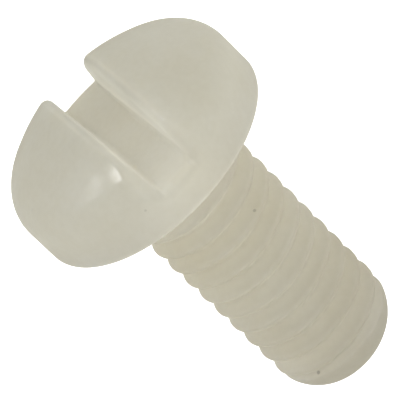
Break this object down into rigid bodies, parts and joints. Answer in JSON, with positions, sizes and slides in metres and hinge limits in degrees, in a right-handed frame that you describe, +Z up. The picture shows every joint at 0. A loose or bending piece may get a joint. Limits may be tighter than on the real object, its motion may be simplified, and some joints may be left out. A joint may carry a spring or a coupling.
{
  "type": "pan head machine screw",
  "caption": "Slotted pan head machine screw moulded in one piece from natural nylon, with a domed head and a fully threaded shank with a rounded tip, lying on its side.",
  "frame": {"origin": "centre of the footprint on the floor that the screw lies on", "axes": "+Z up, +X from the head towards the tip along the floor, +Y to the left of that; the screw's own axis leans 13.2 degrees down towards the tip"},
  "size_m": [0.0122, 0.0076, 0.0077],
  "materials": {
    "nylon": "natural off-white nylon as moulded, slightly translucent, semi-gloss"
  },
  "bodies": {
    "root": {"screw": "nylon"}
  },
  "joints": []
}
